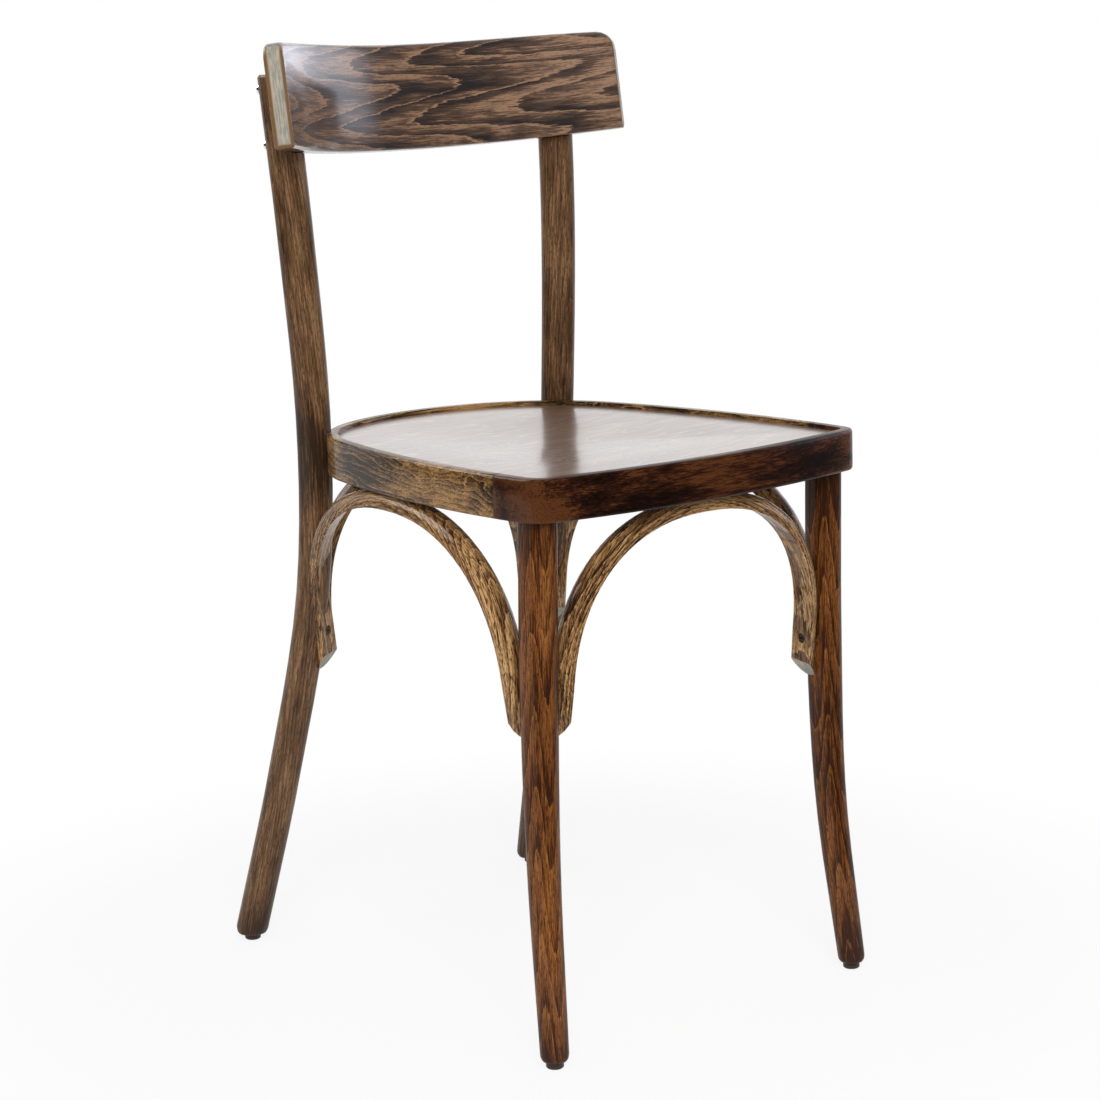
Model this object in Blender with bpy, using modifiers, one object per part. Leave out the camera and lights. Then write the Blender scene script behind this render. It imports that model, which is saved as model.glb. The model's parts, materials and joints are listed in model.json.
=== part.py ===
"""A bentwood side chair: a dished ply seat in a bent frame, two turned front legs,
two bent rear posts that carry a curved back board, and four arched braces.

Metres, +Z up. The chair stands on Z = 0, its front faces -Y and its left side is -X.
The origin is on the floor under the middle of the chair's box.
"""

import math

import bmesh
import bpy
from mathutils import Matrix, Vector

# Clearances and finish
clearance = 0.0003
chord_error = 0.0001
merge_distance = 0.00001
hole_over = 0.004
smooth_angle = math.radians(35)
flat_turn = 0.001
square_turn = math.radians(80)
edge_segments = 3
block_size = 1.0

# Seat frame, seen from above: tangent arcs for the front, front corners, sides, rear corners and back
seat_top = 0.465
frame_height = 0.034
seat_front = -0.2345
seat_back = 0.1735
seat_half_width = 0.1766
seat_widest = -0.134
front_radius = 0.7545
corner_radius = 0.020
side_radius = 0.820
rear_corner_radius = 0.132
back_radius = 0.190
frame_width = 0.027
frame_inner_corner = 0.065
frame_edge = 0.0025
lip_width = 0.0095
joint_behind_front = 0.0655

# Seat panel
panel_thickness = 0.005
panel_drop = 0.0035
dish_depth = 0.0045
dish_rim = 0.12
dish_rings = 7

# Front legs: height, distance from the middle, place from front to back, radius
front_floor = (0.1652, -0.2096, 0.0113)
front_shin = (0.15, 0.1573, -0.1934, 0.0132)
front_knee = (0.30, 0.1542, -0.1905, 0.0150)
front_head = (0.1527, -0.1934, 0.0151)
tenon_radius = 0.010
tenon_length = 0.018

# Rear posts, in the same order
rear_floor = (0.1630, 0.22345, 0.0142)
rear_shin = (0.16, 0.1479, 0.1769, 0.0140)
rear_knee = (0.32, 0.1345, 0.1403, 0.0142)
rear_seat = (0.1343, 0.1265, 0.0147)
rear_waist = (0.63, 0.1425, 0.1280, 0.0153)
rear_head = (0.1495, 0.1385, 0.0156)
post_overlap = 0.0688
post_chamfer = 0.0018

# Rounded ends of the feet
foot_round = 0.0035
foot_rise = 0.0055
foot_steps = 3

# Back board: a plank bent about an upright axis, then leaned back
board_rise = 0.2311
board_front = 0.1504
board_lean = math.radians(8.2)
board_radius = 0.2387
board_half_width = 0.1757
board_height = 0.0909
board_crown = 0.0055
board_thickness = 0.0165
board_top_corner = 0.014
board_bottom_corner = 0.003
board_end_edge = 0.0012
board_bottom_edge = 0.0025
board_back_edge = 0.003
board_front_edge = 0.005
board_slices = 20
board_end_slices = 5
board_edge_rings = 2

# Braces: a half-round bar bent to an arch, flat on the inside
brace_width = 0.023
brace_thickness = 0.012
brace_foot = 0.2565
brace_straight = 0.040
brace_splay = 0.048
brace_shape = 2.34
brace_let_in = 0.0012
brace_edge = 0.0012
brace_fullness = 0.95
brace_foot_slope = math.radians(50)
brace_section_steps = 8
brace_rows = 40
front_brace_back = 0.005
front_brace_forward = 0.0213
side_brace_front_inboard = 0.003
side_brace_rear_inboard = 0.004
side_brace_outward = 0.020
side_brace_twist = math.radians(30)

# Floor glides
glide_radius = 0.0071
glide_height = 0.005
glide_chamfer = 0.001

# Fasteners
screw_head_radius = 0.004
screw_head_height = 0.0024
screw_shank_radius = 0.002
screw_recess = 0.0008
screw_slot_width = 0.0011
screw_slot_depth = 0.0009
brace_screw_length = 0.021
brace_screw_rise = 0.035
crown_screw_length = 0.026
board_screw_head_radius = 0.0048
board_screw_head_height = 0.0036
board_screw_length = 0.036
board_screw_low = 0.011
board_screw_high = 0.057
bolt_head_radius = 0.0055
bolt_head_height = 0.0035
bolt_shank_radius = 0.003
bolt_length = 0.045
washer_radius = 0.008
washer_thickness = 0.0012
washer_stand_off = 0.0005
dowel_radius = 0.004
dowel_length = 0.024
dowel_inset = 0.0085
dowel_spacing = 0.0105
nail_radius = 0.0012
nail_head_radius = 0.0028
nail_head_height = 0.0012
nail_length = 0.016
nail_recess = 0.0008
dome_steps = 4

# Fineness of the bent bars
front_rows = 14
rear_rows = 24

# Sizes that follow from the ones above
frame_bottom = seat_top - frame_height
panel_top = seat_top - panel_drop
ledge_top = panel_top - panel_thickness - clearance
joint_y = seat_front + joint_behind_front
leg_foot = glide_height + clearance
foot_shoulder = leg_foot + foot_rise
board_bottom = seat_top + board_rise
post_top = board_bottom + post_overlap
front_centre = Vector((0, seat_front + front_radius))
side_centre = Vector((seat_half_width - side_radius, seat_widest))
back_centre = Vector((0, seat_back - back_radius))
sides = ((-1, "left"), (1, "right"))


# Scene, collections and materials

def clear_scene():
    for obj in list(bpy.data.objects):
        bpy.data.objects.remove(obj, do_unlink=True)


def new_collection(name, hidden):
    collection = bpy.data.collections.new(name)
    collection.hide_render = hidden
    bpy.context.scene.collection.children.link(collection)
    return collection


def material(name, color, roughness, metallic=0.0):
    made = bpy.data.materials.new(name)
    made.use_nodes = True
    shader = made.node_tree.nodes["Principled BSDF"]
    shader.inputs["Base Color"].default_value = (*color, 1.0)
    shader.inputs["Roughness"].default_value = roughness
    shader.inputs["Metallic"].default_value = metallic
    made.diffuse_color = (*color, 1.0)
    return made


# Shapes

def solid_from_curve(curve, matrix=None, rim=0.0):
    """The closed mesh of a curve, as a mesh block, moved by matrix, its square edges rounded by rim."""
    holder = bpy.data.objects.new(curve.name, curve)
    bpy.context.scene.collection.objects.link(holder)
    graph = bpy.context.evaluated_depsgraph_get()
    mesh = bpy.data.meshes.new_from_object(holder.evaluated_get(graph))
    bpy.data.objects.remove(holder)
    bm = bmesh.new()
    bm.from_mesh(mesh)
    bmesh.ops.remove_doubles(bm, verts=bm.verts, dist=merge_distance)
    if rim > 0:
        bmesh.ops.dissolve_limit(bm, angle_limit=flat_turn, verts=bm.verts, edges=bm.edges)
        rims = [edge for edge in bm.edges if edge.calc_face_angle(0) > square_turn]
        bmesh.ops.bevel(bm, geom=rims, offset=rim, segments=edge_segments, profile=0.5, affect="EDGES")
    bmesh.ops.triangulate(bm, faces=bm.faces)
    bmesh.ops.recalc_face_normals(bm, faces=bm.faces)
    bm.to_mesh(mesh)
    bm.free()
    if matrix is not None:
        mesh.transform(matrix)
    return mesh


def poly_curve(name, points, dimensions, closed):
    """A curve block with one straight-line spline; a point is (x, y, z, radius)."""
    curve = bpy.data.curves.new(name, "CURVE")
    curve.dimensions = dimensions
    spline = curve.splines.new("POLY")
    spline.points.add(len(points) - 1)
    for place, (x, y, z, radius) in zip(spline.points, points):
        place.co = (x, y, z, 1.0)
        place.radius = radius
    spline.use_cyclic_u = closed
    return curve


def slab_mesh(name, outline, bottom, top, edge=0.0):
    """A flat solid between two heights, with its edges rounded by edge."""
    points = [(x, y, 0.0, 1.0) for x, y in outline]
    curve = poly_curve(name, points, "2D", closed=True)
    curve.fill_mode = "BOTH"
    curve.extrude = (top - bottom) / 2
    return solid_from_curve(curve, Matrix.Translation((0, 0, (top + bottom) / 2)), edge)


def bar_mesh(name, points, resolution=8):
    """A round bar along the points, each (x, y, z, radius)."""
    curve = poly_curve(name, points, "3D", closed=False)
    curve.bevel_depth = 1.0
    curve.bevel_resolution = resolution
    curve.use_fill_caps = True
    return solid_from_curve(curve)


def lofted_mesh(name, rings):
    """A closed solid through rings of points, which all have the same count and run the same way."""
    bm = bmesh.new()
    rows = [[bm.verts.new(point) for point in ring] for ring in rings]
    for before, after in zip(rows, rows[1:]):
        for i in range(len(before)):
            bm.faces.new((before[i - 1], before[i], after[i], after[i - 1]))
    bm.faces.new(rows[0])
    bm.faces.new(rows[-1])
    bmesh.ops.recalc_face_normals(bm, faces=bm.faces)
    bmesh.ops.triangulate(bm, faces=bm.faces)
    mesh = bpy.data.meshes.new(name)
    bm.to_mesh(mesh)
    bm.free()
    return mesh


def turned_mesh(name, profile, steps=16):
    """A turned solid about Z from a profile of (radius, height), top to bottom."""
    mesh = bpy.data.meshes.new(name)
    edges = [(i, i + 1) for i in range(len(profile) - 1)]
    mesh.from_pydata([(radius, 0.0, height) for radius, height in profile], edges, [])
    holder = bpy.data.objects.new(name, mesh)
    bpy.context.scene.collection.objects.link(holder)
    screw = holder.modifiers.new("Turn", "SCREW")
    screw.steps = steps
    screw.render_steps = steps
    screw.use_merge_vertices = True
    screw.merge_threshold = merge_distance
    graph = bpy.context.evaluated_depsgraph_get()
    made = bpy.data.meshes.new_from_object(holder.evaluated_get(graph))
    bpy.data.objects.remove(holder)
    bm = bmesh.new()
    bm.from_mesh(made)
    bmesh.ops.remove_doubles(bm, verts=bm.verts, dist=merge_distance)
    bmesh.ops.recalc_face_normals(bm, faces=bm.faces)
    bm.to_mesh(made)
    bm.free()
    return made


def place_along(start, direction):
    """The matrix that stands a turned shape at start with its +Z along direction."""
    turn = Vector(direction).to_track_quat("Z", "Y").to_matrix().to_4x4()
    return Matrix.Translation(start) @ turn


def joined_mesh(name, meshes):
    """One mesh block holding several separate solids."""
    bm = bmesh.new()
    for mesh in meshes:
        bm.from_mesh(mesh)
    joined = bpy.data.meshes.new(name)
    bm.to_mesh(joined)
    bm.free()
    return joined


class Chair:
    """The two collections that the pieces and the cutters go in."""

    def __init__(self):
        self.parts = new_collection("side_chair", hidden=False)
        self.cutters = new_collection("cutters", hidden=True)

    def piece(self, name, mesh, finish):
        obj = bpy.data.objects.new(name, mesh)
        mesh.name = name
        mesh.materials.clear()
        mesh.materials.append(finish)
        mesh.shade_smooth()
        mesh.set_sharp_from_angle(angle=smooth_angle)
        self.parts.objects.link(obj)
        return obj

    def cut(self, target, mesh, operation="DIFFERENCE"):
        cutter = bpy.data.objects.new(target.name + "_cutter", mesh)
        cutter.hide_render = True
        cutter.display_type = "WIRE"
        self.cutters.objects.link(cutter)
        modifier = target.modifiers.new("Cut", "BOOLEAN")
        modifier.operation = operation
        modifier.solver = "EXACT"
        modifier.object = cutter


# Geometry of the seat and of the bent bars

def crossings(first, first_reach, second, second_reach):
    """The two points that lie at the given distances from two centres."""
    between = second - first
    span = between.length
    along = (first_reach ** 2 - second_reach ** 2 + span ** 2) / (2 * span)
    aside = math.sqrt(first_reach ** 2 - along ** 2)
    foot = first + between * (along / span)
    normal = Vector((-between.y, between.x)) / span
    return foot + normal * aside, foot - normal * aside


def arc_points(centre, radius, start, end):
    """Points of an arc, without its last one, fine enough for the chord error."""
    step = 2 * math.acos(1 - chord_error / radius)
    count = max(2, math.ceil(abs(end - start) / step))
    angles = [start + (end - start) * i / count for i in range(count)]
    return [(centre.x + radius * math.cos(a), centre.y + radius * math.sin(a)) for a in angles]


def heading(vector):
    return math.atan2(vector.y, vector.x)


def rear_corner_centre():
    """Centre of the rear corner's arc on the right, which meets the side and back arcs smoothly."""
    centres = crossings(back_centre, back_radius - rear_corner_radius,
                        side_centre, side_radius - rear_corner_radius)
    return max(centres, key=lambda centre: centre.y)


def seat_outline(inset=0.0, front_corner=None):
    """The seat's outline moved inwards by inset, anticlockwise from the middle of the front."""
    corner = corner_radius - inset if front_corner is None else front_corner
    front = front_radius - inset
    side = side_radius - inset
    rear = rear_corner_radius - inset
    back = back_radius - inset
    corner_centres = crossings(front_centre, front - corner, side_centre, side - corner)
    corner_centre = max(corner_centres, key=lambda centre: centre.x)
    rear_centre = rear_corner_centre()
    turns = [
        heading(corner_centre - front_centre),
        heading(corner_centre - side_centre),
        heading(rear_centre - side_centre),
        heading(rear_centre - back_centre),
    ]
    half = arc_points(front_centre, front, -math.pi / 2, turns[0])
    half += arc_points(corner_centre, corner, turns[0], turns[1])
    half += arc_points(side_centre, side, turns[1], turns[2])
    half += arc_points(rear_centre, rear, turns[2], turns[3])
    half += arc_points(back_centre, back, turns[3], math.pi / 2)
    half.append((0.0, back_centre.y + back))
    return half + [(-x, y) for x, y in reversed(half[1:-1])]


def bent_axis(stations):
    """A smooth function of height through stations of (height, x, y, radius)."""
    rows = [Vector(row) for row in stations]
    slopes = []
    for i in range(len(rows)):
        before = rows[max(i - 1, 0)]
        after = rows[min(i + 1, len(rows) - 1)]
        slopes.append((after - before) / (after[0] - before[0]))

    def at(height):
        i = 0
        while i < len(rows) - 2 and height > rows[i + 1][0]:
            i += 1
        step = rows[i + 1][0] - rows[i][0]
        t = (height - rows[i][0]) / step
        value = (2 * t ** 3 - 3 * t ** 2 + 1) * rows[i] + (3 * t ** 2 - 2 * t ** 3) * rows[i + 1]
        value += (t ** 3 - 2 * t ** 2 + t) * step * slopes[i]
        value += (t ** 3 - t ** 2) * step * slopes[i + 1]
        return value[1], value[2], value[3]

    return at


front_axis = bent_axis([(0.0, *front_floor), front_shin, front_knee, (frame_bottom, *front_head)])
rear_axis = bent_axis([
    (0.0, *rear_floor), rear_shin, rear_knee, (seat_top, *rear_seat), rear_waist,
    (board_bottom + board_height, *rear_head),
])


def leg_points(axis, side, top, rows, grow=0.0):
    """Points down the middle of a leg from the floor glide to top, with a rounded, upright foot."""
    points = []
    x, y, radius = axis(foot_shoulder)
    for i in range(foot_steps):
        turn = math.pi / 2 * i / foot_steps
        height = leg_foot + foot_rise * (1 - math.cos(turn))
        points.append((side * x, y, height - grow, radius - foot_round * (1 - math.sin(turn)) + grow))
    for i in range(rows + 1):
        height = foot_shoulder + (top - foot_shoulder) * i / rows
        x, y, radius = axis(height)
        points.append((side * x, y, height, radius + grow))
    return points


# Wooden pieces of the seat

def frame_mesh():
    """The whole seat frame: an L section with a lip, solid in the front corners for the legs."""
    return slab_mesh("frame", seat_outline(), frame_bottom, seat_top, frame_edge)


def cut_frame(chair, piece):
    """Opens the middle of the frame and sinks the ledge that the panel lies on."""
    over = 0.01
    inner = slab_mesh("opening", seat_outline(frame_width, frame_inner_corner),
                      frame_bottom - over, seat_top + over)
    pocket = slab_mesh("pocket", seat_outline(lip_width), ledge_top, seat_top + over)
    chair.cut(piece, inner)
    chair.cut(piece, pocket)


def half_space(y, forward):
    """A block that holds everything in front of y, or everything behind it."""
    bm = bmesh.new()
    bmesh.ops.create_cube(bm, size=block_size)
    centre = y - block_size / 2 if forward else y + block_size / 2
    bmesh.ops.translate(bm, verts=bm.verts, vec=(0, centre, frame_bottom))
    mesh = bpy.data.meshes.new("block")
    bm.to_mesh(mesh)
    bm.free()
    return mesh


def frame_joint_x(inset):
    """Distance from the middle to the frame's outer face, less inset, at the joint."""
    reach = side_radius - inset
    return side_centre.x + math.sqrt(reach ** 2 - (joint_y - side_centre.y) ** 2)


def dowel_places():
    """Middle of each joint dowel, two on each side."""
    height = frame_bottom + (ledge_top - frame_bottom) / 2
    insets = (dowel_inset, dowel_inset + dowel_spacing)
    return [Vector((side * frame_joint_x(inset), joint_y, height)) for side in (-1, 1) for inset in insets]


def pin_mesh(centre, direction, radius, length, steps=16):
    """A plain round pin about its middle."""
    profile = [(0, length / 2), (radius, length / 2), (radius, -length / 2), (0, -length / 2)]
    mesh = turned_mesh("pin", profile, steps)
    mesh.transform(place_along(centre, direction))
    return mesh


def seat_frame(chair, wood):
    """The front rail with both rounded corners, and the bent hoop behind it."""
    rail = chair.piece("seat_front_rail", frame_mesh(), wood)
    hoop = chair.piece("seat_hoop", frame_mesh(), wood)
    for piece in (rail, hoop):
        cut_frame(chair, piece)
    chair.cut(rail, half_space(joint_y - clearance / 2, forward=False))
    chair.cut(hoop, half_space(joint_y + clearance / 2, forward=True))
    holes = [pin_mesh(place, (0, 1, 0), dowel_radius + clearance, dowel_length + 2 * clearance)
             for place in dowel_places()]
    for piece in (rail, hoop):
        chair.cut(piece, joined_mesh("dowel_holes", holes))
    for side in (-1, 1):
        x, y, _ = front_axis(frame_bottom)
        socket = pin_mesh((side * x, y, frame_bottom), (0, 0, 1), tenon_radius + clearance,
                          2 * (tenon_length + clearance), steps=24)
        chair.cut(rail, socket)
    return rail, hoop


def frame_dowels(chair, wood):
    names = ("left_outer", "left_inner", "right_outer", "right_inner")
    for name, place in zip(names, dowel_places()):
        chair.piece("frame_dowel_" + name, pin_mesh(place, (0, 1, 0), dowel_radius, dowel_length), wood)


def seat_panel(chair, wood):
    """A ply panel pressed to a shallow dish: its rim is drawn inwards in rings that sink."""
    outline = seat_outline(lip_width + clearance)
    middle = (seat_front + seat_back) / 2
    bm = bmesh.new()
    rim = [bm.verts.new((x, y, 0.0)) for x, y in outline]
    edges = [bm.edges.new((rim[i - 1], rim[i])) for i in range(len(rim))]
    for ring in range(1, dish_rings + 1):
        share = dish_rim + (1 - dish_rim) * (ring - 1) / dish_rings
        scale = 1 - share
        fall = dish_depth * math.sin(math.pi / 2 * (ring - 1) / (dish_rings - 1)) ** 2
        made = bmesh.ops.extrude_edge_only(bm, edges=edges)["geom"]
        edges = [item for item in made if isinstance(item, bmesh.types.BMEdge)]
        corners = [item for item in made if isinstance(item, bmesh.types.BMVert)]
        for vert, (x, y) in zip(corners, outline):
            vert.co = (x * scale, middle + (y - middle) * scale, -fall)
    bmesh.ops.contextual_create(bm, geom=edges)
    bmesh.ops.recalc_face_normals(bm, faces=bm.faces)
    if sum(face.normal.z for face in bm.faces) < 0:
        bmesh.ops.reverse_faces(bm, faces=bm.faces)
    mesh = bpy.data.meshes.new("seat_panel")
    bm.to_mesh(mesh)
    bm.free()
    mesh.transform(Matrix.Translation((0, 0, panel_top)))
    panel = chair.piece("seat_panel", mesh, wood)
    shell = panel.modifiers.new("Thickness", "SOLIDIFY")
    shell.thickness = panel_thickness
    shell.offset = -1
    return panel


# Legs

def front_leg(chair, name, side, wood):
    """A turned leg with a round tenon that stands in the front corner of the seat frame."""
    points = leg_points(front_axis, side, frame_bottom - clearance, front_rows)
    x, y, _, _ = points[-1]
    points.append((x, y, frame_bottom - clearance / 2, tenon_radius))
    points.append((x, y, frame_bottom + tenon_length, tenon_radius))
    return chair.piece(name, bar_mesh(name, points), wood)


def rear_post(chair, name, side, wood):
    """A bent post from the floor to the back board, let over the seat frame and the board."""
    points = leg_points(rear_axis, side, post_top - post_chamfer, rear_rows)
    x, y, z, radius = points[-1]
    points.append((x, y, post_top, radius - post_chamfer))
    post = chair.piece(name, bar_mesh(name, points), wood)
    chair.cut(post, slab_mesh("housing", seat_outline(-clearance, corner_radius + clearance),
                              frame_bottom - clearance, seat_top + clearance))
    chair.cut(post, board_mesh(grow=clearance))
    return post


# Back board

def board_matrix():
    """Stands the board's own frame at the bottom of its front face, leaned back."""
    lean = Matrix.Rotation(-board_lean, 4, "X")
    return Matrix.Translation((0, board_front, board_bottom)) @ lean


def rounding(radius, distance):
    """How far a quarter round of this radius stands in from its edge, at a distance from its end."""
    return radius - math.sqrt(radius ** 2 - (radius - min(distance, radius)) ** 2)


def board_section(bottom, top, inset):
    """The plank's rounded section, (through, up), anticlockwise from the front bottom edge."""
    corners = (
        (0, bottom, -1, -1, board_bottom_edge),
        (board_thickness, bottom, 1, -1, board_bottom_edge),
        (board_thickness, top, 1, 1, board_back_edge),
        (0, top, -1, 1, board_front_edge),
    )
    points = []
    for i, (through, up, back, high, radius) in enumerate(corners):
        for k in range(edge_segments + 1):
            turn = math.pi + math.pi / 2 * (i + k / edge_segments)
            points.append((through - back * radius + (radius - inset) * math.cos(turn),
                           up - high * radius + (radius - inset) * math.sin(turn)))
    return points


def board_stations(half_length):
    """Places along the plank, closer together where its corners are rounded."""
    ends = [board_end_edge * i / board_edge_rings for i in range(board_edge_rings)]
    ends += [board_end_edge + (board_top_corner - board_end_edge) * (i / board_end_slices) ** 2
             for i in range(board_end_slices)]
    middle = half_length - board_top_corner
    inner = [middle * (2 * i / board_slices - 1) for i in range(board_slices + 1)]
    return [depth - half_length for depth in ends] + inner + [half_length - depth for depth in reversed(ends)]


def board_mesh(grow=0.0):
    """A plank with rounded corners and edges, bent to an arc, grown on every side by grow."""
    half_length = board_radius * math.asin(board_half_width / board_radius)
    rings = []
    for along in board_stations(half_length):
        depth = half_length - abs(along)
        top = board_height - board_crown * (along / half_length) ** 4 - rounding(board_top_corner, depth)
        section = board_section(rounding(board_bottom_corner, depth), top,
                                rounding(board_end_edge, depth) - grow)
        angle = (along + math.copysign(grow, along)) / board_radius
        rings.append([(math.sin(angle) * (board_radius + through),
                       math.cos(angle) * (board_radius + through) - board_radius, up)
                      for through, up in section])
    mesh = lofted_mesh("board", rings)
    mesh.transform(board_matrix())
    return mesh


def back_board(chair, wood):
    return chair.piece("back_board", board_mesh(), wood)


# Braces

def half_round():
    """The brace's section, (outwards, across): flat on one side and full on the other."""
    half = brace_width / 2
    points = [(0.0, -half + brace_edge), (0.0, half - brace_edge)]
    for i in range(brace_section_steps + 1):
        angle = math.pi * i / brace_section_steps
        share = abs(math.sin(angle)) ** brace_fullness
        points.append((brace_edge + (brace_thickness - brace_edge) * share, half * math.cos(angle)))
    return points


def arch_points(half_span, rise):
    """The arch's inner line in its own plane: short splayed feet and a full round between them."""
    points = [(half_span + brace_splay * brace_straight, 0.0)]
    for i in range(brace_rows + 1):
        angle = math.pi * i / brace_rows
        across = half_span * math.copysign(abs(math.cos(angle)) ** (2 / brace_shape), math.cos(angle))
        up = brace_straight + (rise - brace_straight) * math.sin(angle) ** (2 / brace_shape)
        points.append((across, up))
    points.append((-points[0][0], 0.0))
    return points


def arch_mesh(name, half_span, rise, twist):
    """The half-round bar bent along the arch, turned about its own line by twist at the far foot."""
    line = [Vector(point) for point in arch_points(half_span - brace_splay * brace_straight, rise)]
    rings = []
    for i, place in enumerate(line):
        run = line[min(i + 1, len(line) - 1)] - line[max(i - 1, 0)]
        outward = Vector((run.y, -run.x)).normalized()
        share = max(place.x / half_span, 0.0)
        turn = twist * share ** 2 * (3 - 2 * share)
        ring = []
        for out, across in half_round():
            reach = out * math.cos(turn) + across * math.sin(turn)
            spot = place + outward * reach
            ring.append((spot.x, spot.y, across * math.cos(turn) - out * math.sin(turn)))
        rings.append(ring)
    return lofted_mesh(name, rings)


def brace_frame(left_foot, right_foot, crown):
    """Matrix from the arch's plane to the chair: X runs between the feet, Y to the crown."""
    middle = (left_foot + right_foot) / 2
    across = (right_foot - left_foot).normalized()
    up = crown - middle
    up -= across * up.dot(across)
    rise = up.length
    up.normalize()
    turn = Matrix((across, up, across.cross(up))).transposed().to_4x4()
    return Matrix.Translation(middle) @ turn, (right_foot - left_foot).length / 2, rise


def brace_place(kind, side=1):
    """Feet and crown of a brace's inner line: beside two legs and under the seat frame."""
    inward = brace_thickness - brace_let_in
    front_x, front_y, front_r = front_axis(brace_foot)
    rear_x, rear_y, rear_r = rear_axis(brace_foot)
    crown_z = frame_bottom - inward
    if kind == "front":
        span = front_x - front_r - inward
        foot_y = front_y + front_brace_back
        crown = Vector((0, foot_y - front_brace_forward, crown_z))
        return brace_frame(Vector((-span, foot_y, brace_foot)), Vector((span, foot_y, brace_foot)), crown)
    if kind == "rear":
        span = rear_x - rear_r - inward
        crown = Vector((0, seat_back - frame_width / 2, crown_z))
        return brace_frame(Vector((-span, rear_y, brace_foot)), Vector((span, rear_y, brace_foot)), crown)
    front_foot = Vector((side * (front_x - side_brace_front_inboard), front_y + front_r + inward, brace_foot))
    reach = rear_r + inward
    rear_foot = Vector((side * (rear_x - reach * math.sin(side_brace_twist) - side_brace_rear_inboard),
                        rear_y - reach * math.cos(side_brace_twist), brace_foot))
    middle = (front_foot + rear_foot) / 2
    crown = Vector((middle.x + side * side_brace_outward, middle.y, crown_z))
    return brace_frame(front_foot, rear_foot, crown)


def foot_place(kind, side, end):
    """Matrix at the flat side of a brace's foot: X away from the arch, Y up, turned with the foot."""
    matrix, half_span, _ = brace_place(kind, side)
    twist = -side * side_brace_twist if kind == "side" and end > 0 else 0.0
    return matrix @ Matrix.Translation((end * half_span, 0, 0)) @ Matrix.Rotation(twist, 4, "Y")


def foot_cut(place, end):
    """A block whose upper face slopes from the brace's foot up to its flat side."""
    size = 0.08
    bm = bmesh.new()
    bmesh.ops.create_cube(bm, size=size)
    slope = Matrix.Rotation(-end * brace_foot_slope, 4, "Z")
    corner = Matrix.Translation((end * brace_thickness, 0, 0))
    sink = Matrix.Translation((0, -size / 2, 0))
    bmesh.ops.transform(bm, matrix=place @ corner @ slope @ sink, verts=bm.verts)
    mesh = bpy.data.meshes.new("foot_cut")
    bm.to_mesh(mesh)
    bm.free()
    return mesh


def seat_underside():
    """A block that holds everything above the frame's underside."""
    bm = bmesh.new()
    bmesh.ops.create_cube(bm, size=block_size)
    bmesh.ops.translate(bm, verts=bm.verts, vec=(0, 0, frame_bottom - clearance + block_size / 2))
    mesh = bpy.data.meshes.new("underside")
    bm.to_mesh(mesh)
    bm.free()
    return mesh


def brace(chair, name, kind, side, wood, legs):
    """An arch let in against two legs and the frame, its feet cut off on a slope."""
    matrix, half_span, rise = brace_place(kind, side)
    twist = -side * side_brace_twist if kind == "side" else 0.0
    mesh = arch_mesh(name, half_span, rise, twist)
    mesh.transform(matrix)
    piece = chair.piece(name, mesh, wood)
    for end in (-1, 1):
        chair.cut(piece, foot_cut(foot_place(kind, side, end), end))
    chair.cut(piece, seat_underside())
    for axis, leg_side, top, rows in legs:
        chair.cut(piece, bar_mesh("leg_room", leg_points(axis, leg_side, top, rows, grow=clearance)))
    return piece


# Fasteners and glides

def screw_mesh(head_radius, head_height, shank_radius, length, rounded):
    """A screw standing on its point: a domed head, or a flat one that is tapered underneath."""
    if rounded:
        turns = [math.pi / 2 * i / dome_steps for i in range(dome_steps + 1)]
        head = [(head_radius * math.sin(turn), head_height * math.cos(turn)) for turn in turns]
        head.append((shank_radius, 0.0))
    else:
        head = [(0.0, 0.0), (head_radius, 0.0), (head_radius, -head_height / 4), (shank_radius, -head_height)]
    profile = head + [(shank_radius, -length + 2 * shank_radius), (0.0, -length)]
    return turned_mesh("screw", profile)


def hole_mesh(start, direction, depth, radius, sink_depth=0.0, sink_radius=0.0, over=hole_over):
    """A round hole from start, run proud of the surface, with a wider mouth where sink_radius is given."""
    if sink_radius > 0:
        profile = [(0, over), (sink_radius, over), (sink_radius, -sink_depth), (radius, -sink_depth)]
    else:
        profile = [(0, over), (radius, over)]
    mesh = turned_mesh("hole", profile + [(radius, -depth), (0, -depth)])
    mesh.transform(place_along(start, direction))
    return mesh


def slot_mesh(head, outward):
    """A block that cuts the straight slot across a flat screw head."""
    bm = bmesh.new()
    bmesh.ops.create_cube(bm, size=2)
    shape = Matrix.Diagonal((2 * screw_head_radius, screw_slot_width / 2, screw_slot_depth, 1))
    bmesh.ops.transform(bm, matrix=place_along(head, outward) @ shape, verts=bm.verts)
    mesh = bpy.data.meshes.new("slot")
    bm.to_mesh(mesh)
    bm.free()
    return mesh


def sunk_screw(chair, name, surface, outward, length, metal, through, into):
    """A slotted, countersunk screw a little below a surface, with its holes in both pieces."""
    out = Vector(outward).normalized()
    head = Vector(surface) - out * screw_recess
    mesh = screw_mesh(screw_head_radius, screw_head_height, screw_shank_radius, length, rounded=False)
    mesh.transform(place_along(head, out))
    screw = chair.piece(name, mesh, metal)
    chair.cut(screw, slot_mesh(head, out))
    depth = length + clearance
    radius = screw_shank_radius + clearance
    chair.cut(through, hole_mesh(head, out, depth, radius, screw_head_height + clearance,
                                 screw_head_radius + clearance))
    chair.cut(into, hole_mesh(head, out, depth, radius))


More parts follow.
